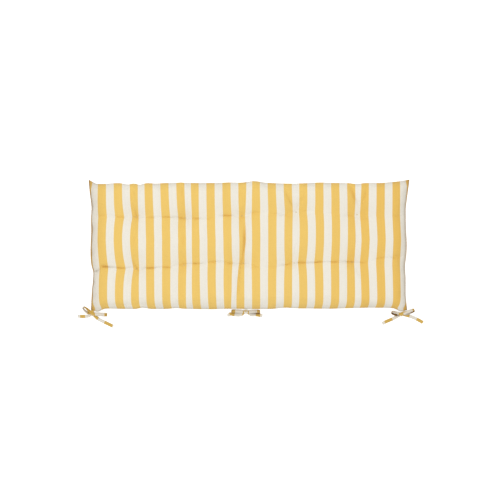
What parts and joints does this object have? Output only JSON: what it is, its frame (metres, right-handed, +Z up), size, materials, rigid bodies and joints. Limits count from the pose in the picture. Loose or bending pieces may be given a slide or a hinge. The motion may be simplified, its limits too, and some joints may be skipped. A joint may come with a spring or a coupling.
{
  "type": "bench cushion",
  "caption": "Long flat filled cushion in striped cloth, tufted in rows, with a knife-edge seam and tied bows along one long edge.",
  "frame": {"origin": "on the surface that the cushion lies on, under the middle of the case", "axes": "+X along the cushion, +Y away from the edge with the ties, +Z up out of the face"},
  "size_m": [1.3016, 0.5579, 0.0653],
  "materials": {
    "case_cloth": "matt cotton weave, yellow and off-white stripes across the length",
    "tie_cloth": "strips of the same matt striped cotton"
  },
  "bodies": {
    "root": {"cushion": "case_cloth", "tie_left": "tie_cloth", "tie_middle": "tie_cloth", "tie_right": "tie_cloth"}
  },
  "joints": []
}
